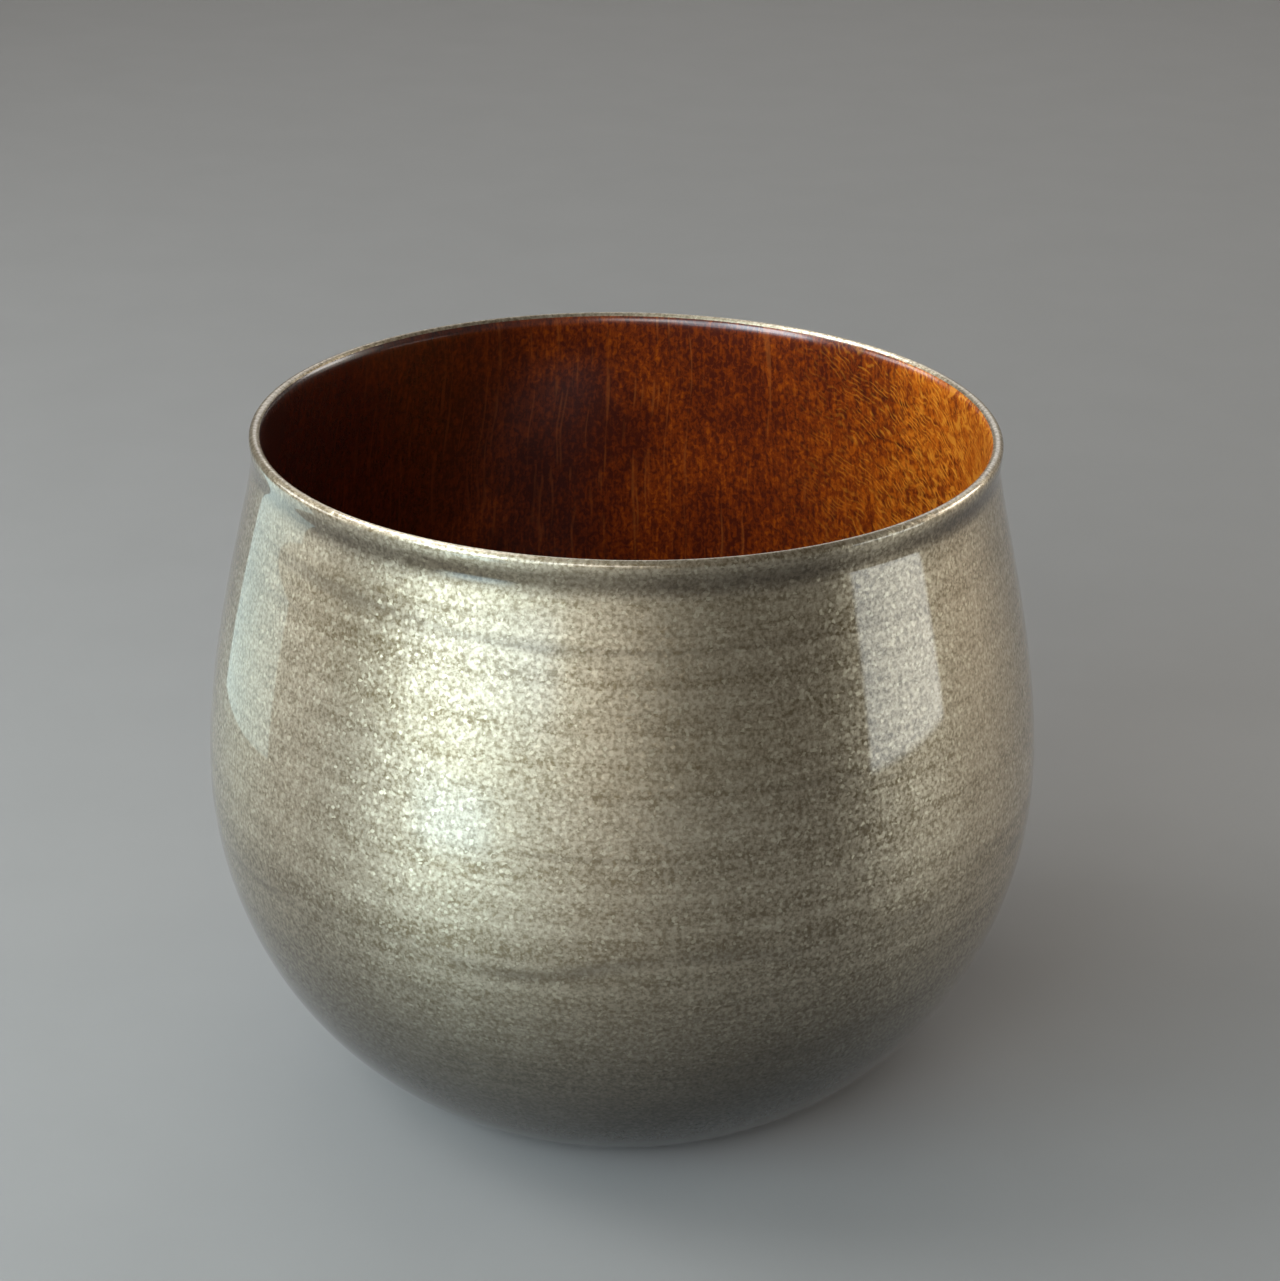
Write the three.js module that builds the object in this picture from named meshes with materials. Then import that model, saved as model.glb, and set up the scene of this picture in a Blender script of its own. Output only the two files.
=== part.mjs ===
// A lacquered wooden cup: a turned wood body under an amber lining, a metallic coat, a clear
// topcoat and a foot coat. Millimetres, +Z up, origin at the centre of the resting face.
import * as THREE from 'three';

// Outer form, measured over the finished lacquer
const HEIGHT = 70;
const BELLY_DIAMETER = 84;
const BELLY_HEIGHT = 34.7;
const FOOT_DIAMETER = 42;
const FOOT_FLARE_ANGLE = THREE.MathUtils.degToRad(24);

// Neck and lip
const NECK_DIAMETER = 73.7;
const NECK_DROP = 2.6;
const LIP_DIAMETER = 74;
const LIP_RADIUS = 0.6;
const LIP_ROLL_WIDTH = 0.75;
const LIP_ROLL_DROP = 1.3;
const LIP_COAT_WRAP = THREE.MathUtils.degToRad(38);

// Inside
const BELLY_WALL = 2.4;
const FLOOR_HEIGHT = 5;
const FLOOR_FLAT_DIAMETER = 24;

// Foot
const FOOT_EDGE_RADIUS = 0.8;
const FOOT_RING_WIDTH = 4;
const FOOT_RECESS_DEPTH = 1.2;
const FOOT_RECESS_BLEND = 3;

// Lacquer layers
const METALLIC_THICKNESS = 0.16;
const CLEAR_THICKNESS = 0.12;
const AMBER_THICKNESS = 0.28;
const FOOT_COAT_THICKNESS = 0.28;

// How far each end of a curve holds its direction, as a share of the curve's own width or height
const FOOT_FULLNESS = 0.67;
const LOWER_FULLNESS = 0.38;
const UPPER_FULLNESS = 0.42;
const NECK_FULLNESS = 0.12;
const COLLAR_FULLNESS = 0.35;
const FLOOR_FULLNESS = 0.75;
const RECESS_FULLNESS = 0.5;

// Facets
const TURN_SEGMENTS = 48;
const BELLY_STEPS = 6;
const SMALL_STEPS = 3;
const EDGE_STEPS = 2;
const STRAIGHT = 1;
const SAME_POINT = 0.001;

const RIGHT_ANGLE = Math.PI / 2;
const bellyRadius = BELLY_DIAMETER / 2;
const footRadius = FOOT_DIAMETER / 2;
const neckRadius = NECK_DIAMETER / 2;
const lipRadius = LIP_DIAMETER / 2;
const outerCoat = METALLIC_THICKNESS + CLEAR_THICKNESS;

const at = (radius, height) => new THREE.Vector2(radius, height);

// A station is a point of the finished surface with the direction that leads into the wood.
// The surface is followed from under the foot, up the outside and down the inside, so the
// wood lies to the left of the direction of travel.
function stationsAlong(curve, steps) {
  const stations = [];
  for (let step = 0; step <= steps; step += 1) {
    const travel = curve.getTangent(step / steps);
    const inward = at(-travel.y, travel.x);
    stations.push({ point: curve.getPoint(step / steps), inward });
  }
  return stations;
}

// Joins runs end to end, with one station where two of them meet.
function joinRuns(first, ...others) {
  return [...first, ...others.flatMap((run) => run.slice(1))];
}

function sunkBy(stations, depth) {
  return stations.map(({ point, inward }) => point.clone().addScaledVector(inward, depth));
}

// A wall that leaves one point and reaches the other straight up or straight down
function wallBetween(start, startFullness, end, endFullness) {
  const rise = end.y - start.y;
  return new THREE.CubicBezierCurve(
    start,
    at(start.x, start.y + rise * startFullness),
    at(end.x, end.y - rise * endFullness),
    end,
  );
}

// Underside: the recess, its blend down to the ring, the flat ring and the ring's rounded edge
const ringOuter = at(footRadius - FOOT_EDGE_RADIUS, 0);
const ringInner = at(ringOuter.x - FOOT_RING_WIDTH, 0);
const recessEdge = at(ringInner.x - FOOT_RECESS_BLEND, FOOT_RECESS_DEPTH);
const recessCentre = at(0, FOOT_RECESS_DEPTH);
const recessBlend = new THREE.CubicBezierCurve(
  recessEdge,
  at(recessEdge.x + FOOT_RECESS_BLEND * RECESS_FULLNESS, recessEdge.y),
  at(ringInner.x - FOOT_RECESS_BLEND * RECESS_FULLNESS, ringInner.y),
  ringInner,
);
const footEdge = new THREE.EllipseCurve(
  ringOuter.x,
  FOOT_EDGE_RADIUS,
  FOOT_EDGE_RADIUS,
  FOOT_EDGE_RADIUS,
  -RIGHT_ANGLE,
  FOOT_FLARE_ANGLE - RIGHT_ANGLE,
);
const underside = joinRuns(
  stationsAlong(new THREE.LineCurve(recessCentre, recessEdge), STRAIGHT),
  stationsAlong(recessBlend, SMALL_STEPS),
  stationsAlong(new THREE.LineCurve(ringInner, ringOuter), STRAIGHT),
  stationsAlong(footEdge, EDGE_STEPS),
);

// Outside: lower belly, upper belly, collar, lip crest and the start of the lip's inner roll
const bodyStart = footEdge.getPoint(1);
const belly = at(bellyRadius, BELLY_HEIGHT);
const neck = at(neckRadius, HEIGHT - NECK_DROP);
const lipSide = at(lipRadius, HEIGHT - LIP_RADIUS);
const footReach = (belly.x - bodyStart.x) * FOOT_FULLNESS;
const lowerBelly = new THREE.CubicBezierCurve(
  bodyStart,
  at(bodyStart.x + footReach, bodyStart.y + footReach * Math.tan(FOOT_FLARE_ANGLE)),
  at(belly.x, belly.y - (belly.y - bodyStart.y) * LOWER_FULLNESS),
  belly,
);
const crest = at(lipRadius - LIP_RADIUS, HEIGHT);
const lipCrest = new THREE.EllipseCurve(
  crest.x,
  lipSide.y,
  LIP_RADIUS,
  LIP_RADIUS,
  0,
  RIGHT_ANGLE,
);
function lipRoll(fromCrest, toCrest) {
  return new THREE.EllipseCurve(
    crest.x,
    HEIGHT - LIP_ROLL_DROP,
    LIP_ROLL_WIDTH,
    LIP_ROLL_DROP,
    RIGHT_ANGLE + fromCrest,
    RIGHT_ANGLE + toCrest,
  );
}
const outside = joinRuns(
  [underside.at(-1)],
  stationsAlong(lowerBelly, BELLY_STEPS),
  stationsAlong(wallBetween(belly, UPPER_FULLNESS, neck, NECK_FULLNESS), BELLY_STEPS),
  stationsAlong(wallBetween(neck, COLLAR_FULLNESS, lipSide, COLLAR_FULLNESS), SMALL_STEPS),
  stationsAlong(lipCrest, SMALL_STEPS),
  stationsAlong(lipRoll(0, LIP_COAT_WRAP), STRAIGHT),
);

// Inside: the rest of the lip's roll, the upper wall, the lower wall and the flat floor
const mouth = at(crest.x - LIP_ROLL_WIDTH, HEIGHT - LIP_ROLL_DROP);
const innerBelly = at(bellyRadius - BELLY_WALL, BELLY_HEIGHT);
const floorEdge = at(FLOOR_FLAT_DIAMETER / 2, FLOOR_HEIGHT);
const floorCentre = at(0, FLOOR_HEIGHT);
const innerLower = new THREE.CubicBezierCurve(
  innerBelly,
  at(innerBelly.x, innerBelly.y - (innerBelly.y - floorEdge.y) * LOWER_FULLNESS),
  at(floorEdge.x + (innerBelly.x - floorEdge.x) * FLOOR_FULLNESS, floorEdge.y),
  floorEdge,
);
const inside = joinRuns(
  [outside.at(-1)],
  stationsAlong(lipRoll(LIP_COAT_WRAP, RIGHT_ANGLE), EDGE_STEPS),
  stationsAlong(wallBetween(mouth, NECK_FULLNESS, innerBelly, UPPER_FULLNESS), BELLY_STEPS),
  stationsAlong(innerLower, BELLY_STEPS),
  stationsAlong(new THREE.LineCurve(floorEdge, floorCentre), STRAIGHT),
);

// The wood lies under every coat, so its surface is the finished one sunk by each coat's depth.
const woodProfile = [
  ...sunkBy(underside, FOOT_COAT_THICKNESS),
  ...sunkBy(outside, outerCoat),
  ...sunkBy(inside, AMBER_THICKNESS),
];

// A coat is turned from its shown face and, back the other way, its buried face. A coat that
// reaches the axis starts and ends there, and any other closes on itself.
function coatProfile(stations, shownDepth, buriedDepth) {
  const shown = sunkBy(stations, shownDepth);
  const buried = sunkBy(stations, buriedDepth).reverse();
  if (stations.at(-1).point.x < SAME_POINT) {
    return [...buried, ...shown];
  }
  if (stations[0].point.x < SAME_POINT) {
    return [...shown, ...buried];
  }
  return [...shown, ...buried, shown[0].clone()];
}

function turned(name, profile, finish) {
  const points = profile.filter((point, index) => (
    index === 0 || point.distanceTo(profile[index - 1]) > SAME_POINT
  ));
  const geometry = new THREE.LatheGeometry(points, TURN_SEGMENTS);
  const mesh = new THREE.Mesh(geometry, new THREE.MeshStandardMaterial(finish));
  mesh.name = name;
  return mesh;
}

const woodBody = turned('wood_body', woodProfile, {
  color: '#a8703f',
  roughness: 0.6,
  metalness: 0,
});
const amberLining = turned('amber_lining', coatProfile(inside, 0, AMBER_THICKNESS), {
  color: '#7a3510',
  roughness: 0.08,
  metalness: 0,
});
const metallicCoat = turned('metallic_coat', coatProfile(outside, CLEAR_THICKNESS, outerCoat), {
  color: '#9b9480',
  roughness: 0.35,
  metalness: 0.8,
});
const clearTopcoat = turned('clear_topcoat', coatProfile(outside, 0, CLEAR_THICKNESS), {
  color: '#c9c3ae',
  roughness: 0.05,
  metalness: 0,
});
const footCoat = turned('foot_coat', coatProfile(underside, 0, FOOT_COAT_THICKNESS), {
  color: '#3a352b',
  roughness: 0.15,
  metalness: 0,
});

// The profiles are turned about their own upright axis, which is then stood along +Z.
const cup = new THREE.Group();
cup.rotation.x = RIGHT_ANGLE;
cup.add(woodBody, amberLining, metallicCoat, clearTopcoat, footCoat);

export default cup;
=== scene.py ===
import math

import bpy
from mathutils import Matrix, Vector
from mathutils.geometry import interpolate_bezier


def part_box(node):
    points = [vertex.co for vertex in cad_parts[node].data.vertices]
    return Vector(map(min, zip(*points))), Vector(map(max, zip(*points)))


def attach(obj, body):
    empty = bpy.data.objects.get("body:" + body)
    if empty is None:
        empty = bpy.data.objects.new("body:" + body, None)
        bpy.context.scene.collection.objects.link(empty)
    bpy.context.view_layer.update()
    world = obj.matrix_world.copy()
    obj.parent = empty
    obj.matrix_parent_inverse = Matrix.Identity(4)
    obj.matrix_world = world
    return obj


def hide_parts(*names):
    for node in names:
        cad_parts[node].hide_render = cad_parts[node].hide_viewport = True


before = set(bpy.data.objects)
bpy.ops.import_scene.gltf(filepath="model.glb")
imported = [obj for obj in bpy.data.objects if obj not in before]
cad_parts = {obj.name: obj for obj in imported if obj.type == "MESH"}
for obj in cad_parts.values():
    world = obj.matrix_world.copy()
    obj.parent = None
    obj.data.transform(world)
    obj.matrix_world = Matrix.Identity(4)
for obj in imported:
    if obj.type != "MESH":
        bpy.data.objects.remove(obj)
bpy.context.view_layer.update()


# Wood body
# One block of hardwood, turned on a lathe to a thin bowl with a small foot. Its surface is the cup's
# finished form, sunk by the depth of the lacquer that lies on each part of it.
def new_finish(name):
    finish = bpy.data.materials.new(name)
    finish.use_nodes = True
    return finish, finish.node_tree.nodes["Principled BSDF"]


def feed(finish, socket, value):
    if isinstance(value, bpy.types.NodeSocket):
        finish.node_tree.links.new(value, socket)
    else:
        socket.default_value = value


def feed_all(finish, node, sockets):
    for name, value in sockets.items():
        feed(finish, node.inputs[name], value)


def add_node(finish, kind, sockets, **settings):
    node = finish.node_tree.nodes.new(kind)
    for name, value in settings.items():
        setattr(node, name, value)
    feed_all(finish, node, sockets)
    return node


def cup_place(finish, stretch):
    """Places on the cup in metres, each axis multiplied by its own stretch."""
    place = add_node(finish, "ShaderNodeTexCoord", {}).outputs["Object"]
    return add_node(finish, "ShaderNodeMapping", {"Vector": place, "Scale": stretch}).outputs[0]


def noise(finish, place, scale, detail=2.0, roughness=0.5, distortion=0.0):
    sockets = {
        "Vector": place,
        "Scale": scale,
        "Detail": detail,
        "Roughness": roughness,
        "Distortion": distortion,
    }
    return add_node(finish, "ShaderNodeTexNoise", sockets).outputs["Fac"]


def ramp(finish, value, low, high, to_low=0.0, to_high=1.0):
    """A smooth step: to_low below low, to_high above high."""
    sockets = {
        "Value": value,
        "From Min": low,
        "From Max": high,
        "To Min": to_low,
        "To Max": to_high,
    }
    node = add_node(finish, "ShaderNodeMapRange", sockets, interpolation_type="SMOOTHSTEP")
    return node.outputs[0]


# A mix node lists its sockets for every kind of value, so the ones for colour go by number.
MIX_SHARE = 0
MIX_FIRST = 6
MIX_SECOND = 7
MIX_RESULT = 2


def mix_colour(finish, share, first, second, blend="MIX"):
    sockets = {MIX_SHARE: share, MIX_FIRST: first, MIX_SECOND: second}
    node = add_node(finish, "ShaderNodeMix", sockets, data_type="RGBA", blend_type=blend)
    return node.outputs[MIX_RESULT]


# The finished outside, from the foot's edge over the belly, neck and lip
outer_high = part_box("clear_topcoat")[1]
HEIGHT = outer_high.z
BELLY_RADIUS = outer_high.x
BELLY_HEIGHT = 0.0347
NECK_RADIUS = 0.03685
NECK_DROP = 0.0026
NECK_HEIGHT = HEIGHT - NECK_DROP
LIP_OUTER_RADIUS = 0.037
LIP_ROUND = 0.0006
LIP_ROLL_WIDTH = 0.00075
LIP_ROLL_DROP = 0.0013
LIP_COAT_WRAP = math.radians(38)
FOOT_RADIUS = 0.021
FOOT_EDGE_ROUND = 0.0008
FOOT_FLARE = math.radians(24)
OUTER_COAT = 0.00028

# How finely a piece is turned, and how far it is from true
TURN_STEPS = 320
SHARP_EDGE = math.radians(40)
SLOW_DRIFT = 6e-6
RIDGE_DRIFT = 1.2e-6

# How far each end of a curve holds its direction, as a share of the curve's width or height
FOOT_FULLNESS = 0.67
LOWER_FULLNESS = 0.38
UPPER_FULLNESS = 0.42
NECK_FULLNESS = 0.12
COLLAR_FULLNESS = 0.35
BOWL_FLOOR_FULLNESS = 0.75

QUARTER_TURN = math.pi / 2
crest_radius = LIP_OUTER_RADIUS - LIP_ROUND
ring_radius = FOOT_RADIUS - FOOT_EDGE_ROUND


def curve(start, start_pull, end_pull, end, steps):
    points = [Vector(point).to_3d() for point in (start, start_pull, end_pull, end)]
    return [point.to_2d() for point in interpolate_bezier(*points, steps + 1)]


def arc(centre, width, height, start, end, steps):
    angles = [start + (end - start) * step / steps for step in range(steps + 1)]
    return [Vector((centre[0] + width * math.cos(a), centre[1] + height * math.sin(a))) for a in angles]


def join(*runs):
    """The runs end to end, with one point where two of them meet."""
    points = list(runs[0])
    for run in runs[1:]:
        points.extend(run[1:])
    return points


def sunk(points, depth):
    """The same run of points, moved by depth to the left of its direction, into the wood."""
    moved = []
    last = len(points) - 1
    for index, point in enumerate(points):
        travel = (points[min(index + 1, last)] - points[max(index - 1, 0)]).normalized()
        moved.append(point + Vector((-travel.y, travel.x)) * depth)
    return moved


def hand_drift(angle, height):
    """How far brush and lathe leave the surface from true, a few thousandths of a millimetre."""
    slow = math.sin(2 * angle + 110 * height + 0.7) + 0.6 * math.sin(3 * angle - 190 * height + 2.1)
    ridge = math.sin(900 * height + 1.3 * math.sin(angle + 0.4)) + 0.7 * math.sin(1500 * height + angle)
    return SLOW_DRIFT * slow + RIDGE_DRIFT * ridge


def new_object(name, data):
    made = bpy.data.objects.new(name, data)
    bpy.context.collection.objects.link(made)
    return made


def turned_piece(name, loop, finish):
    """A closed solid: a loop of radius and height, turned about the cup's axis."""
    places = []
    rings = []
    for radius, height in loop:
        steps = TURN_STEPS if radius > 0 else 1
        rings.append(range(len(places), len(places) + steps))
        for step in range(steps):
            angle = 2 * math.pi * step / steps
            true_radius = radius + hand_drift(angle, height) * radius / BELLY_RADIUS
            places.append((true_radius * math.cos(angle), true_radius * math.sin(angle), height))
    pairs = list(zip(rings, rings[1:]))
    if len(rings[0]) > 1:
        pairs.append((rings[-1], rings[0]))
    faces = []
    for first, second in pairs:
        for step in range(TURN_STEPS):
            after = step + 1
            corners = [first[step % len(first)], first[after % len(first)]]
            corners += [second[after % len(second)], second[step % len(second)]]
            faces.append(list(dict.fromkeys(corners)))
    mesh = bpy.data.meshes.new(name)
    mesh.from_pydata(places, [], faces)
    mesh.shade_smooth()
    mesh.set_sharp_from_angle(angle=SHARP_EDGE)
    mesh.materials.append(finish)
    return new_object(name, mesh)


def outer_runs(belly_steps, small_steps):
    foot_centre = (ring_radius, FOOT_EDGE_ROUND)
    foot_turn = FOOT_FLARE - QUARTER_TURN
    start = arc(foot_centre, FOOT_EDGE_ROUND, FOOT_EDGE_ROUND, foot_turn, 0, 1)[0]
    reach = (BELLY_RADIUS - start.x) * FOOT_FULLNESS
    belly = (BELLY_RADIUS, BELLY_HEIGHT)
    neck = (NECK_RADIUS, NECK_HEIGHT)
    lip_side = (LIP_OUTER_RADIUS, HEIGHT - LIP_ROUND)
    lower_rise = BELLY_HEIGHT - start.y
    upper_rise = NECK_HEIGHT - BELLY_HEIGHT
    collar_rise = lip_side[1] - NECK_HEIGHT
    return join(
        curve(
            start,
            (start.x + reach, start.y + reach * math.tan(FOOT_FLARE)),
            (BELLY_RADIUS, BELLY_HEIGHT - lower_rise * LOWER_FULLNESS),
            belly,
            belly_steps,
        ),
        curve(
            belly,
            (BELLY_RADIUS, BELLY_HEIGHT + upper_rise * UPPER_FULLNESS),
            (NECK_RADIUS, NECK_HEIGHT - upper_rise * NECK_FULLNESS),
            neck,
            belly_steps,
        ),
        curve(
            neck,
            (NECK_RADIUS, NECK_HEIGHT + collar_rise * COLLAR_FULLNESS),
            (LIP_OUTER_RADIUS, lip_side[1] - collar_rise * COLLAR_FULLNESS),
            lip_side,
            small_steps,
        ),
        arc((crest_radius, HEIGHT - LIP_ROUND), LIP_ROUND, LIP_ROUND, 0, QUARTER_TURN, small_steps),
        arc(
            (crest_radius, HEIGHT - LIP_ROLL_DROP),
            LIP_ROLL_WIDTH,
            LIP_ROLL_DROP,
            QUARTER_TURN,
            QUARTER_TURN + LIP_COAT_WRAP,
            small_steps,
        ),
    )


# The finished inside, from the lip's roll down to the flat floor
BELLY_WALL = 0.0024
BOWL_FLOOR_HEIGHT = 0.005
BOWL_FLOOR_RADIUS = 0.012
AMBER_COAT = 0.00028


def inner_runs(belly_steps, small_steps):
    mouth = (crest_radius - LIP_ROLL_WIDTH, HEIGHT - LIP_ROLL_DROP)
    belly = (BELLY_RADIUS - BELLY_WALL, BELLY_HEIGHT)
    floor_edge = (BOWL_FLOOR_RADIUS, BOWL_FLOOR_HEIGHT)
    upper_fall = mouth[1] - BELLY_HEIGHT
    lower_fall = BELLY_HEIGHT - BOWL_FLOOR_HEIGHT
    bowl_width = belly[0] - BOWL_FLOOR_RADIUS
    return join(
        arc(
            (crest_radius, HEIGHT - LIP_ROLL_DROP),
            LIP_ROLL_WIDTH,
            LIP_ROLL_DROP,
            QUARTER_TURN + LIP_COAT_WRAP,
            math.pi,
            small_steps,
        ),
        curve(
            mouth,
            (mouth[0], mouth[1] - upper_fall * NECK_FULLNESS),
            (belly[0], BELLY_HEIGHT + upper_fall * UPPER_FULLNESS),
            belly,
            belly_steps,
        ),
        curve(
            belly,
            (belly[0], BELLY_HEIGHT - lower_fall * LOWER_FULLNESS),
            (BOWL_FLOOR_RADIUS + bowl_width * BOWL_FLOOR_FULLNESS, BOWL_FLOOR_HEIGHT),
            floor_edge,
            belly_steps,
        ),
        curve(
            floor_edge,
            (BOWL_FLOOR_RADIUS * 2 / 3, BOWL_FLOOR_HEIGHT),
            (BOWL_FLOOR_RADIUS / 3, BOWL_FLOOR_HEIGHT),
            (0, BOWL_FLOOR_HEIGHT),
            small_steps,
        ),
    )


# The finished underside, from the recess's centre out to the ring's rounded edge
FOOT_RING_WIDTH = 0.004
FOOT_RECESS_DEPTH = 0.0012
FOOT_RECESS_BLEND = 0.003
FOOT_COAT = 0.00028

# Where the two pulls of a flat run stand, as a share of its length
NEAR_PULL = 0.3
FAR_PULL = 0.7


def foot_runs(steps):
    ring_inner = ring_radius - FOOT_RING_WIDTH
    recess_edge = ring_inner - FOOT_RECESS_BLEND
    half_blend = FOOT_RECESS_BLEND / 2
    return join(
        curve(
            (0, FOOT_RECESS_DEPTH),
            (recess_edge * NEAR_PULL, FOOT_RECESS_DEPTH),
            (recess_edge * FAR_PULL, FOOT_RECESS_DEPTH),
            (recess_edge, FOOT_RECESS_DEPTH),
            steps,
        ),
        curve(
            (recess_edge, FOOT_RECESS_DEPTH),
            (recess_edge + half_blend, FOOT_RECESS_DEPTH),
            (ring_inner - half_blend, 0),
            (ring_inner, 0),
            steps,
        ),
        curve(
            (ring_inner, 0),
            (ring_inner + FOOT_RING_WIDTH * NEAR_PULL, 0),
            (ring_inner + FOOT_RING_WIDTH * FAR_PULL, 0),
            (ring_radius, 0),
            steps,
        ),
        arc(
            (ring_radius, FOOT_EDGE_ROUND),
            FOOT_EDGE_ROUND,
            FOOT_EDGE_ROUND,
            -QUARTER_TURN,
            FOOT_FLARE - QUARTER_TURN,
            steps,
        ),
    )


WOOD_PALE = (0.46, 0.25, 0.10, 1)
WOOD_DARK = (0.24, 0.11, 0.04, 1)
WOOD_RING_STRETCH = (260, 40, 12)
bare_wood, bare_wood_shader = new_finish("bare_wood")
wood_rings = noise(bare_wood, cup_place(bare_wood, WOOD_RING_STRETCH), 1, 4, 0.6, 0.8)
wood_colour = mix_colour(bare_wood, ramp(bare_wood, wood_rings, 0.35, 0.65), WOOD_DARK, WOOD_PALE)
wood_roughness = ramp(bare_wood, wood_rings, 0.3, 0.7, 0.7, 0.5)
feed_all(bare_wood, bare_wood_shader, {"Base Color": wood_colour, "Roughness": wood_roughness})

# Where the lacquer meets the wood. The two ends on the axis stay exactly on it.
foot_buried = sunk(foot_runs(steps=4), FOOT_COAT)
foot_buried[0].x = 0
outer_buried = sunk(outer_runs(belly_steps=18, small_steps=3), OUTER_COAT)
inner_buried = sunk(inner_runs(belly_steps=16, small_steps=3), AMBER_COAT)
inner_buried[-1].x = 0
wood_core = turned_piece("wood_core", join(foot_buried, outer_buried, inner_buried), bare_wood)
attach(wood_core, "root")
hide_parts("wood_body")


# Outer lacquer
# Metal powder dusted into wet lacquer and brushed round the turning cup, then a clear coat polished
# to a mirror. One piece stands for both layers, from the foot over the lip's crest to its inside.
def math_node(finish, operation, first, second):
    node = add_node(finish, "ShaderNodeMath", {0: first, 1: second}, operation=operation)
    return node.outputs[0]


def vector_node(finish, operation, first, second):
    node = add_node(finish, "ShaderNodeVectorMath", {0: first, 1: second}, operation=operation)
    return node.outputs[0]


def weighted(finish, *shares):
    """The sum of each value times its own share."""
    total = None
    for share, value in shares:
        part = math_node(finish, "MULTIPLY", value, share)
        total = part if total is None else math_node(finish, "ADD", total, part)
    return total


def distance_from(finish, value, other):
    return math_node(finish, "ABSOLUTE", math_node(finish, "SUBTRACT", value, other), 0)


POWDER_PALE = (0.50, 0.430, 0.315, 1)
POWDER_DARK = (0.175, 0.132, 0.072, 1)
POWDER_SPARK = (0.68, 0.62, 0.46, 1)
FOOT_PAINTED_SHADE = (0.13, 0.125, 0.12, 1)
NECK_SHADE = (0.14, 0.095, 0.05, 1)
GROUND_BROWN = (0.062, 0.038, 0.015, 1)
LACQUER_IOR = 1.52
FLAKE_SIZE = 0.00030
SPECKLE_SIZE = 0.00040
CLOUD_SIZE = 0.004
FLAT_FLAKE_TILT = 0.065
LOOSE_FLAKE_TILT = 0.15
FLAT_FLAKE_COLOUR = (0.5, 0.5, 0.5)
BRUSH_STRETCH = (12, 12, 1000)
STROKE_STRETCH = (17, 17, 250)
RING_WANDER_STRETCH = (22, 22, 0)
RING_BREAK_STRETCH = (38, 38, 60)
NECK_BAND_RISE = 0.0005
NECK_BAND_HEIGHT = NECK_HEIGHT + NECK_BAND_RISE
THIN_RING_HEIGHT = 0.0322
RING_WANDER_DOWN = 0.0026
RING_WANDER_UP = 0.0022
RING_HALF_WIDTH = 0.0014

# From where to where a look fades: up or down from the neck's band, and in height above the floor
NECK_BAND_FADE = (0.0002, 0.0019)
FOOT_SHADE_FADE = (0.008, 0.042)

metal_powder, powder_shader = new_finish("metal_powder_lacquer")
powder_place = cup_place(metal_powder, (1, 1, 1))
flakes = add_node(
    metal_powder,
    "ShaderNodeTexVoronoi",
    {"Vector": powder_place, "Scale": 1 / FLAKE_SIZE, "Randomness": 1.0},
).outputs["Color"]
flake_shares = add_node(metal_powder, "ShaderNodeSeparateColor", {"Color": flakes}).outputs
flake_shine = flake_shares["Red"]
speckle = noise(metal_powder, powder_place, 1 / SPECKLE_SIZE, 2.5, 0.6)
brush_lines = noise(metal_powder, cup_place(metal_powder, BRUSH_STRETCH), 1, 4, 0.65, 0.3)
clouds = noise(metal_powder, powder_place, 1 / CLOUD_SIZE, 3, 0.6)
powder_tone = weighted(
    metal_powder,
    (0.70, ramp(metal_powder, speckle, 0.32, 0.68)),
    (0.30, flake_shine),
    (1, ramp(metal_powder, clouds, 0.3, 0.7, -0.08, 0.08)),
    (1, ramp(metal_powder, brush_lines, 0.3, 0.7, -0.17, 0.17)),
)
powder_colour = mix_colour(metal_powder, powder_tone, POWDER_DARK, POWDER_PALE)
powder_colour = mix_colour(
    metal_powder,
    ramp(metal_powder, flake_shine, 0.86, 1.0, 0.0, 0.5),
    powder_colour,
    POWDER_SPARK,
)

# Where the powder lies thin the brown ground shows: along one brushed ring under the belly and in
# short strokes. The neck's hollow is darkened with painted shade, and the colour is darkened towards the
# foot with painted shade.
powder_height = add_node(metal_powder, "ShaderNodeSeparateXYZ", {"Vector": powder_place}).outputs["Z"]
ring_wander = noise(metal_powder, cup_place(metal_powder, RING_WANDER_STRETCH), 1, 1)
ring_height = ramp(
    metal_powder,
    ring_wander,
    0.25,
    0.75,
    THIN_RING_HEIGHT - RING_WANDER_DOWN,
    THIN_RING_HEIGHT + RING_WANDER_UP,
)
ring_distance = distance_from(metal_powder, powder_height, ring_height)
ring_breaks = noise(metal_powder, cup_place(metal_powder, RING_BREAK_STRETCH), 1, 3, 0.6)
thin_ring = math_node(
    metal_powder,
    "MULTIPLY",
    ramp(metal_powder, ring_distance, 0.0, RING_HALF_WIDTH, 0.62, 0.0),
    ramp(metal_powder, ring_breaks, 0.38, 0.66),
)
stroke_bands = noise(metal_powder, cup_place(metal_powder, STROKE_STRETCH), 1, 3, 0.55, 0.5)
thin_strokes = ramp(metal_powder, stroke_bands, 0.57, 0.78, 0.0, 0.50)
# Painted shade: the colour is darkened in a band round the neck's hollow.
neck_distance = distance_from(metal_powder, powder_height, NECK_BAND_HEIGHT)
neck_shade = math_node(
    metal_powder,
    "MULTIPLY",
    ramp(metal_powder, neck_distance, *NECK_BAND_FADE, 0.95, 0.0),
    ramp(metal_powder, ring_breaks, 0.30, 0.62, 1.0, 0.55),
)
# Painted shade: the colour is darkened towards the foot.
painted_foot_shade = ramp(metal_powder, powder_height, *FOOT_SHADE_FADE, 1.0, 0.0)
thin_powder = math_node(metal_powder, "MAXIMUM", thin_ring, thin_strokes)
powder_colour = mix_colour(metal_powder, thin_powder, powder_colour, GROUND_BROWN)
powder_colour = mix_colour(metal_powder, neck_shade, powder_colour, NECK_SHADE, "MULTIPLY")
powder_colour = mix_colour(metal_powder, painted_foot_shade, powder_colour, FOOT_PAINTED_SHADE, "MULTIPLY")

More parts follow.
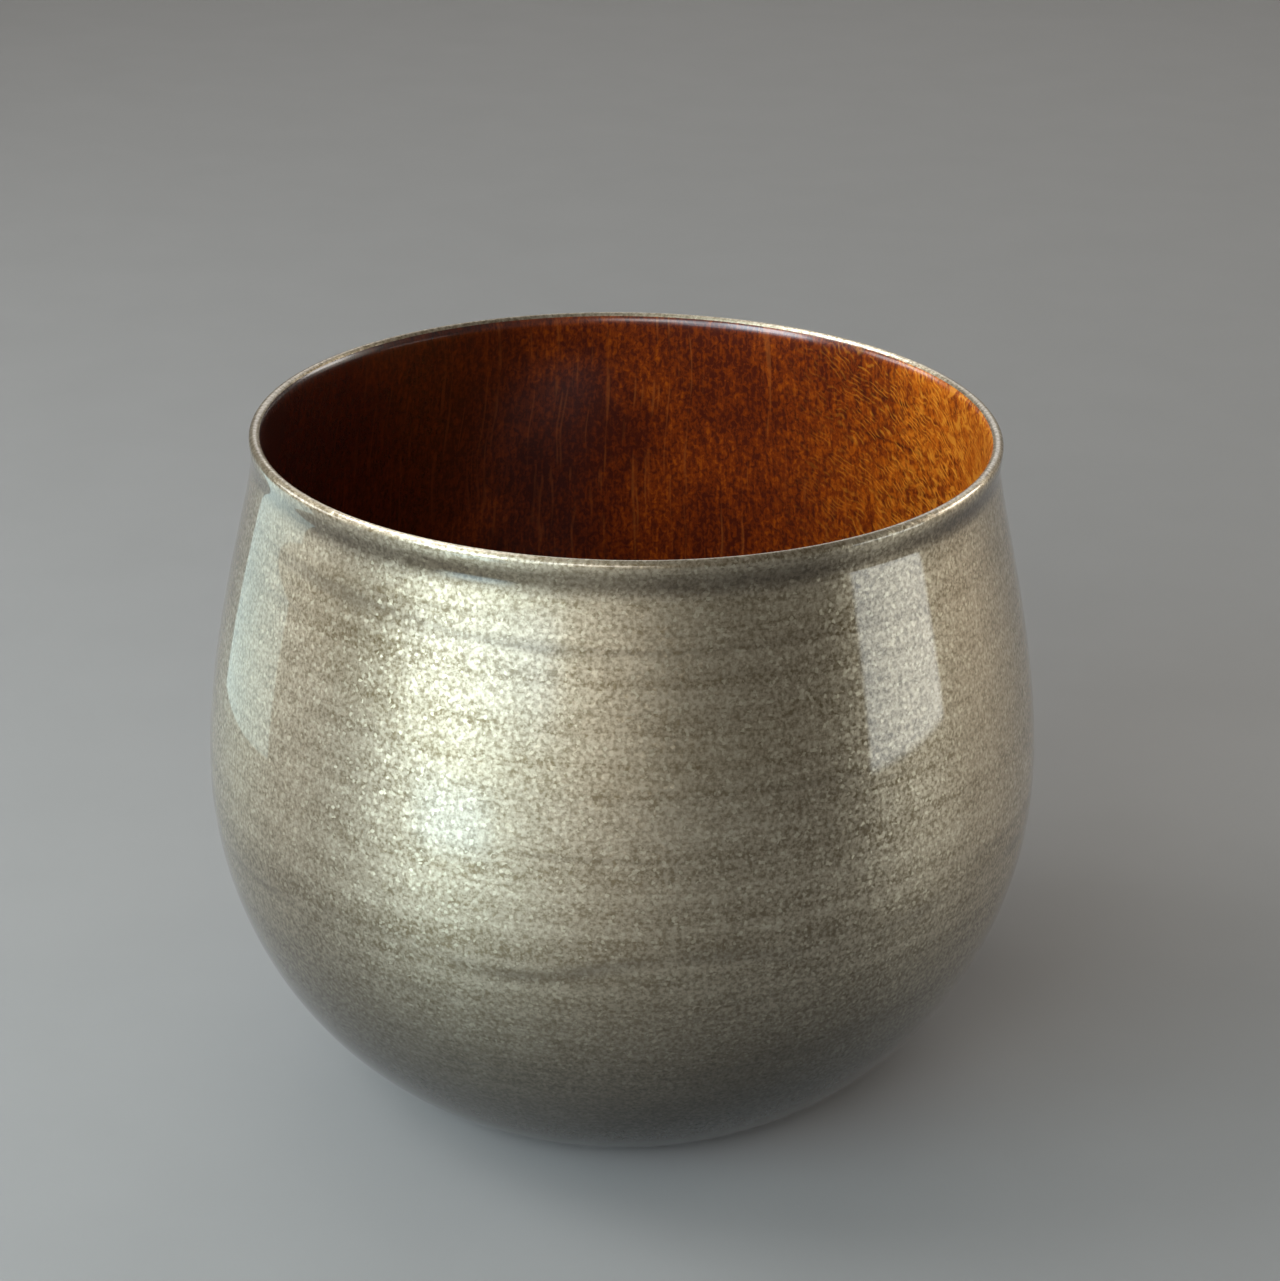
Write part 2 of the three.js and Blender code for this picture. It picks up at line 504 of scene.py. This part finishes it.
# Each flake leans its own way, most of them little and a few loose ones more.
flake_lean = vector_node(metal_powder, "SUBTRACT", flakes, FLAT_FLAKE_COLOUR)
flake_tilt = ramp(metal_powder, flake_shares["Blue"], 0.70, 1.0, FLAT_FLAKE_TILT, LOOSE_FLAKE_TILT)
flake_lean = add_node(
    metal_powder,
    "ShaderNodeVectorMath",
    {0: flake_lean, "Scale": flake_tilt},
    operation="SCALE",
).outputs[0]
smooth_normal = add_node(metal_powder, "ShaderNodeNewGeometry", {}).outputs["Normal"]
flake_normal = vector_node(metal_powder, "ADD", smooth_normal, flake_lean)
flake_normal = vector_node(metal_powder, "NORMALIZE", flake_normal, (0, 0, 0))
brush_way = add_node(
    metal_powder,
    "ShaderNodeTangent",
    {},
    direction_type="RADIAL",
    axis="Z",
).outputs["Tangent"]
powder_looks = {
    "Base Color": powder_colour,
    "Metallic": ramp(metal_powder, thin_powder, 0, 1, 0.9, 0.3),
    "Roughness": ramp(metal_powder, speckle, 0.3, 0.7, 0.52, 0.42),
    "Normal": flake_normal,
    "Tangent": brush_way,
    "Anisotropic": 0.7,
    "Anisotropic Rotation": 0.25,
    "Coat Weight": 1.0,
    "Coat Roughness": 0.02,
    "Coat IOR": LACQUER_IOR,
}
feed_all(metal_powder, powder_shader, powder_looks)

outer_shown = outer_runs(belly_steps=72, small_steps=12)
outer_lacquer = turned_piece("outer_lacquer", outer_shown + outer_buried[::-1], metal_powder)
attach(outer_lacquer, "root")
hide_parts("metallic_coat", "clear_topcoat")


# Amber lining
# Transparent red-brown lacquer wiped into the bare wood inside and polished, so the grain shows
# through it. It starts on the lip where the metal powder ends and runs down to the floor.
MOTTLE_SIZE = 0.00048
PATCH_SIZE = 0.012
CURL_PITCH = 0.00058
CURL_FINENESS = 2 * math.pi / CURL_PITCH
CURL_SLANT = 0.7
CURL_BEND_SIZE = 0.0065
CURL_WOBBLE_SIZE = 0.0016
CURL_BREAK_SIZE = 0.0013
CURL_BEND = 30.0
CURL_WOBBLE = 14.0
STREAK_COUNT = 75
STREAK_SWAY = 3.2
STREAK_STRETCH = (0, 0, 36)
SWAY_STRETCH = (40, 40, 95)
MOTTLE_STRETCH = (1, 1, 0.7)
FIBRE_STRETCH = (2300, 2300, 210)
GROWTH_STRETCH = (30, 30, 620)
FLAME_STRETCH = (900, 650, 900)
SHADE_EDGE_WANDER = 0.016

# From where to where a look fades: to one side of the cup's axis, and for the last in height
FIGURE_AND_LIT_FADE = (0.015, 0.036)
LIT_FAR_SIDE_FADE = (0.024, 0.038)
STREAK_FADE = (0.006, 0.028)
SHADE_SIDE_FADE = (-0.016, 0.022)
STREAK_RISE = (0.020, 0.032)

AMBER_DEEP = (0.090, 0.012, 0.003, 1)
AMBER_MID = (0.24, 0.037, 0.003, 1)
AMBER_BRIGHT = (0.62, 0.135, 0.006, 1)
AMBER_GOLD_SHEEN = (0.98, 0.38, 0.035, 1)
AMBER_PALE = (0.56, 0.155, 0.026, 1)
PAINTED_SIDE_SHADE = (0.19, 0.14, 0.20, 1)
amber_lacquer, amber_shader = new_finish("amber_lacquer_over_wood")
grain_place = cup_place(amber_lacquer, (1, 1, 1))
grain_axes = add_node(amber_lacquer, "ShaderNodeSeparateXYZ", {"Vector": grain_place}).outputs
across = grain_axes["X"]
mottle = noise(amber_lacquer, cup_place(amber_lacquer, MOTTLE_STRETCH), 1 / MOTTLE_SIZE, 2.5, 0.6, 0.6)
fibre = noise(amber_lacquer, cup_place(amber_lacquer, FIBRE_STRETCH), 1, 3, 0.6, 0.2)
patches = noise(amber_lacquer, grain_place, 1 / PATCH_SIZE, 2, 0.5)
grain_tone = weighted(
    amber_lacquer,
    (0.46, ramp(amber_lacquer, mottle, 0.30, 0.70)),
    (0.30, ramp(amber_lacquer, fibre, 0.28, 0.72)),
    (0.24, ramp(amber_lacquer, patches, 0.3, 0.7)),
)

# The figure, all on one side: dark fine growth rings, curled grain that shows as short golden arcs,
# and lighter and darker flames at that side's far end. The arcs and flames are partly a painted sheen,
# and the same side is painted lighter, most at its far end: painted light.
figure_and_lit_side = ramp(amber_lacquer, across, *FIGURE_AND_LIT_FADE)
lit_far_side = ramp(amber_lacquer, across, *LIT_FAR_SIDE_FADE)
ring_lines = noise(amber_lacquer, cup_place(amber_lacquer, GROWTH_STRETCH), 1, 2, 0.5, 0.4)
growth_rings = math_node(
    amber_lacquer,
    "MULTIPLY",
    ramp(amber_lacquer, ring_lines, 0.60, 0.72, 0.0, 0.55),
    figure_and_lit_side,
)
flame_field = noise(amber_lacquer, cup_place(amber_lacquer, FLAME_STRETCH), 1, 2.5, 0.6, 0.8)
flame_tone = ramp(amber_lacquer, flame_field, 0.34, 0.66, -0.28, 0.28)
flame = math_node(amber_lacquer, "MULTIPLY", flame_tone, lit_far_side)
# The two side shares lighten the lit side: painted light.
figured_tone = weighted(
    amber_lacquer,
    (1, grain_tone),
    (-1, growth_rings),
    (0.20, figure_and_lit_side),
    (0.50, lit_far_side),
    (1, flame),
)
amber_colour = mix_colour(
    amber_lacquer,
    ramp(amber_lacquer, figured_tone, 0.24, 0.70),
    AMBER_DEEP,
    AMBER_MID,
)
amber_colour = mix_colour(
    amber_lacquer,
    ramp(amber_lacquer, figured_tone, 0.58, 1.18),
    amber_colour,
    AMBER_BRIGHT,
)
curl_turns = weighted(
    amber_lacquer,
    (-CURL_FINENESS * CURL_SLANT, grain_axes["Y"]),
    (CURL_FINENESS * CURL_SLANT, grain_axes["Z"]),
    (CURL_BEND, noise(amber_lacquer, grain_place, 1 / CURL_BEND_SIZE, 1, 0.4, 0.3)),
    (CURL_WOBBLE, noise(amber_lacquer, grain_place, 1 / CURL_WOBBLE_SIZE, 1, 0.4)),
)
curl_arcs = ramp(amber_lacquer, math_node(amber_lacquer, "SINE", curl_turns, 0), 0.0, 1.0)
curl_breaks = noise(amber_lacquer, grain_place, 1 / CURL_BREAK_SIZE, 2, 0.55)
broken_arcs = math_node(
    amber_lacquer,
    "MULTIPLY",
    curl_arcs,
    ramp(amber_lacquer, curl_breaks, 0.40, 0.64, 0.0, 0.72),
)
curl = math_node(amber_lacquer, "MULTIPLY", broken_arcs, figure_and_lit_side)
# The golden arcs and the flames' glow are grain figure with a painted sheen over it.
amber_colour = mix_colour(amber_lacquer, curl, amber_colour, AMBER_GOLD_SHEEN)
flame_glow = ramp(amber_lacquer, flame, 0.0, 0.26, 0.0, 0.62)
amber_colour = mix_colour(amber_lacquer, flame_glow, amber_colour, AMBER_GOLD_SHEEN)

# Pale upright streaks that sway a little, where long pores take up less of the lacquer's colour.
way_round = vector_node(amber_lacquer, "MULTIPLY", grain_place, (1, 1, 0))
way_round = vector_node(amber_lacquer, "NORMALIZE", way_round, (0, 0, 0))
sway = add_node(
    amber_lacquer,
    "ShaderNodeTexNoise",
    {"Vector": cup_place(amber_lacquer, SWAY_STRETCH), "Scale": 1, "Detail": 1},
).outputs["Color"]
streak_place = vector_node(amber_lacquer, "MULTIPLY", way_round, (STREAK_COUNT, STREAK_COUNT, 0))
along_height = cup_place(amber_lacquer, STREAK_STRETCH)
streak_place = vector_node(amber_lacquer, "ADD", streak_place, along_height)
streak_sway = vector_node(amber_lacquer, "MULTIPLY", sway, (STREAK_SWAY, STREAK_SWAY, 0))
streak_place = vector_node(amber_lacquer, "ADD", streak_place, streak_sway)
streak_field = noise(amber_lacquer, streak_place, 1, 1, 0.4)
streaks = math_node(
    amber_lacquer,
    "MULTIPLY",
    ramp(amber_lacquer, streak_field, 0.60, 0.74, 0.0, 0.40),
    ramp(amber_lacquer, grain_axes["Z"], *STREAK_RISE),
)
streak_side = ramp(amber_lacquer, across, *STREAK_FADE, 1.0, 0.35)
streaks = math_node(amber_lacquer, "MULTIPLY", streaks, streak_side)
amber_colour = mix_colour(amber_lacquer, streaks, amber_colour, AMBER_PALE)

# Painted shade: the side away from the lamps is darkened, with an edge that wanders.
shade_edge = weighted(amber_lacquer, (1, across), (SHADE_EDGE_WANDER, patches))
painted_shade_side = ramp(amber_lacquer, shade_edge, *SHADE_SIDE_FADE, 1.0, 0.0)
amber_colour = mix_colour(amber_lacquer, painted_shade_side, amber_colour, PAINTED_SIDE_SHADE, "MULTIPLY")
amber_looks = {
    "Base Color": amber_colour,
    "Roughness": ramp(amber_lacquer, mottle, 0.3, 0.7, 0.55, 0.40),
    "Specular IOR Level": 0.1,
    "Coat Weight": 1.0,
    "Coat Roughness": 0.19,
    "Coat IOR": LACQUER_IOR,
}
feed_all(amber_lacquer, amber_shader, amber_looks)

inner_shown = inner_runs(belly_steps=60, small_steps=12)
amber_lining = turned_piece("amber_lining_coat", inner_buried[::-1] + inner_shown, amber_lacquer)
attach(amber_lining, "root")
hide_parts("amber_lining")


# Foot coat
# Dark lacquer brushed over the ring that the cup stands on and the shallow recess inside it. It
# meets the outer lacquer just above the ring's rounded edge.
FOOT_DARK = (0.020, 0.014, 0.008, 1)
FOOT_WORN = (0.070, 0.050, 0.028, 1)
FOOT_BRUSH_STRETCH = (300, 300, 40)
foot_lacquer, foot_shader = new_finish("dark_foot_lacquer")
foot_brush = noise(foot_lacquer, cup_place(foot_lacquer, FOOT_BRUSH_STRETCH), 1, 4, 0.6, 0.6)
foot_colour = mix_colour(foot_lacquer, ramp(foot_lacquer, foot_brush, 0.4, 0.75), FOOT_DARK, FOOT_WORN)
foot_looks = {
    "Base Color": foot_colour,
    "Roughness": ramp(foot_lacquer, foot_brush, 0.3, 0.7, 0.28, 0.42),
    "Coat Weight": 0.6,
    "Coat Roughness": 0.15,
}
feed_all(foot_lacquer, foot_shader, foot_looks)

foot_shown = foot_runs(steps=10)
foot_coat = turned_piece("foot_lacquer", foot_shown + foot_buried[::-1], foot_lacquer)
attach(foot_coat, "root")
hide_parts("foot_coat")


# Floor
# A plain pale matt surface, wide enough to fill the picture. The cup stands on it by the ring of its
# foot.
FLOOR_HALF = 2.0
FLOOR_PALE = (0.40, 0.395, 0.387, 1)
FLOOR_SHADE = (0.37, 0.365, 0.357, 1)
FLOOR_MOTTLE_STRETCH = (60, 60, 60)
pale_floor, pale_floor_shader = new_finish("pale_floor")
floor_mottle = noise(pale_floor, cup_place(pale_floor, FLOOR_MOTTLE_STRETCH), 1, 3, 0.5)
floor_colour = mix_colour(pale_floor, floor_mottle, FLOOR_PALE, FLOOR_SHADE)
feed_all(pale_floor, pale_floor_shader, {"Base Color": floor_colour, "Roughness": 0.8})
floor_mesh = bpy.data.meshes.new("floor")
floor_corners = [(x * FLOOR_HALF, y * FLOOR_HALF, 0) for x, y in ((-1, -1), (1, -1), (1, 1), (-1, 1))]
floor_mesh.from_pydata(floor_corners, [], [(0, 1, 2, 3)])
floor_mesh.materials.append(pale_floor)
floor = new_object("floor", floor_mesh)


# Light
# Plain soft panels: a wide one at the front left, two at the left, the second of them high, and fills
# from the front, the back and the right. Seven more light no matt surface and show as reflections
# only, and a dim even fill comes from all round.
AIM_HEIGHT = 0.05
PANEL_MIDDLE = 0.5
EVEN_FILL = (0.165, 0.152, 0.138, 1)
PALE_TEAL = (0.70, 0.98, 0.97)
SKY_BLUE = (0.60, 0.88, 1.0)
COOL_WHITE = (0.90, 0.98, 1.0)


def soft_panel(name, bearing, distance, height, size, glow, colour=(1, 1, 1), shift=0, edge=0.02):
    """A panel at a bearing from +Y towards +X, facing the cup, which fades out along its edges."""
    lamp = bpy.data.lights.new(name, "AREA")
    lamp.shape = "RECTANGLE"
    lamp.size = size[0]
    lamp.size_y = size[1]
    lamp.energy = glow * math.pi * size[0] * size[1]
    lamp.color = colour
    lamp.use_nodes = True
    place = add_node(lamp, "ShaderNodeNewGeometry", {}).outputs["Parametric"]
    sides = add_node(lamp, "ShaderNodeSeparateXYZ", {"Vector": place})
    from_side = ramp(lamp, math_node(lamp, "PINGPONG", sides.outputs["X"], PANEL_MIDDLE), 0, edge)
    from_end = ramp(lamp, math_node(lamp, "PINGPONG", sides.outputs["Y"], PANEL_MIDDLE), 0, edge)
    strength = math_node(lamp, "MULTIPLY", from_side, from_end)
    feed(lamp, lamp.node_tree.nodes["Emission"].inputs["Strength"], strength)
    turn = math.radians(bearing)
    outward = Vector((math.sin(turn), math.cos(turn), 0))
    sideways = Vector((math.cos(turn), -math.sin(turn), 0))
    facing = Vector((0, 0, min(height, AIM_HEIGHT) - height)) - outward * distance
    panel = new_object(name, lamp)
    panel.location = outward * distance + sideways * shift + Vector((0, 0, height))
    panel.rotation_euler = facing.to_track_quat("-Z", "Y").to_euler()
    return panel


soft_panel("main_panel", -76, 0.48, 0.20, (0.34, 0.17), 5.8, (0.95, 0.99, 1.0), edge=0.2)
soft_panel("window_panel", -140, 0.45, 0.215, (0.50, 0.42), 3.7, (0.68, 0.88, 1.0), edge=0.2)
soft_panel("front_fill", -170, 0.50, 0.28, (0.46, 0.30), 7.6, (0.97, 0.95, 0.93), edge=0.5)
soft_panel("high_panel", -95, 0.36, 0.44, (0.34, 0.28), 5.0, (0.93, 0.98, 1.0), edge=0.3)
soft_panel("back_panel", 5, 0.62, 0.40, (0.90, 0.45), 1.2, edge=0.3)
soft_panel("right_fill", 73, 0.60, 0.20, (0.42, 0.40), 1.9, (1.0, 0.92, 0.80), edge=0.4)
reflected_panels = [
    soft_panel("lip_panel", -52, 0.25, 0.43, (0.26, 0.22), 11.0, (0.95, 0.98, 1.0), edge=0.15),
    soft_panel("band_panel", -130, 0.40, 0.25, (0.24, 0.24), 11.0, (0.76, 0.92, 1.0), edge=0.15),
    soft_panel("right_lip_panel", 62, 0.50, 0.25, (0.25, 0.16), 8.0, (1.0, 0.96, 0.90), edge=0.2),
    soft_panel("left_strip", -57, 0.150, 0.020, (0.082, 0.038), 1.05, PALE_TEAL, shift=-0.028),
    soft_panel("left_edge", -57, 0.150, 0.020, (0.026, 0.038), 0.8, PALE_TEAL, shift=-0.056, edge=0.1),
    soft_panel("front_strip", -133, 0.170, 0.018, (0.085, 0.040), 4.6, SKY_BLUE, shift=-0.022, edge=0.4),
    soft_panel("right_strip", 95, 0.240, 0.045, (0.120, 0.075), 3.1, COOL_WHITE, shift=0.036, edge=0.08),
]
for panel in reflected_panels:
    panel.visible_diffuse = False

world = bpy.data.worlds.new("even_fill")
world.use_nodes = True
world.node_tree.nodes["Background"].inputs["Color"].default_value = EVEN_FILL
bpy.context.scene.world = world


# Camera
# The photograph's place: a little above the cup, looking down into its mouth, and tipped by under a
# degree.
CAMERA_PLACE = Vector((0, -0.29821, 0.17461))
CAMERA_TARGET = Vector((0.00165, 0, 0.04675))
CAMERA_ROLL = math.radians(0.87)
camera_data = bpy.data.cameras.new("camera")
camera_data.sensor_width = 36
camera_data.lens = 90
camera_data.clip_start = 0.01
camera = new_object("camera", camera_data)
camera_turn = (CAMERA_TARGET - CAMERA_PLACE).to_track_quat("-Z", "Y").to_matrix().to_4x4()
camera_roll = Matrix.Rotation(CAMERA_ROLL, 4, "Z")
camera.matrix_world = Matrix.Translation(CAMERA_PLACE) @ camera_turn @ camera_roll
bpy.context.scene.camera = camera

bpy.context.scene.view_settings.view_transform = "Standard"
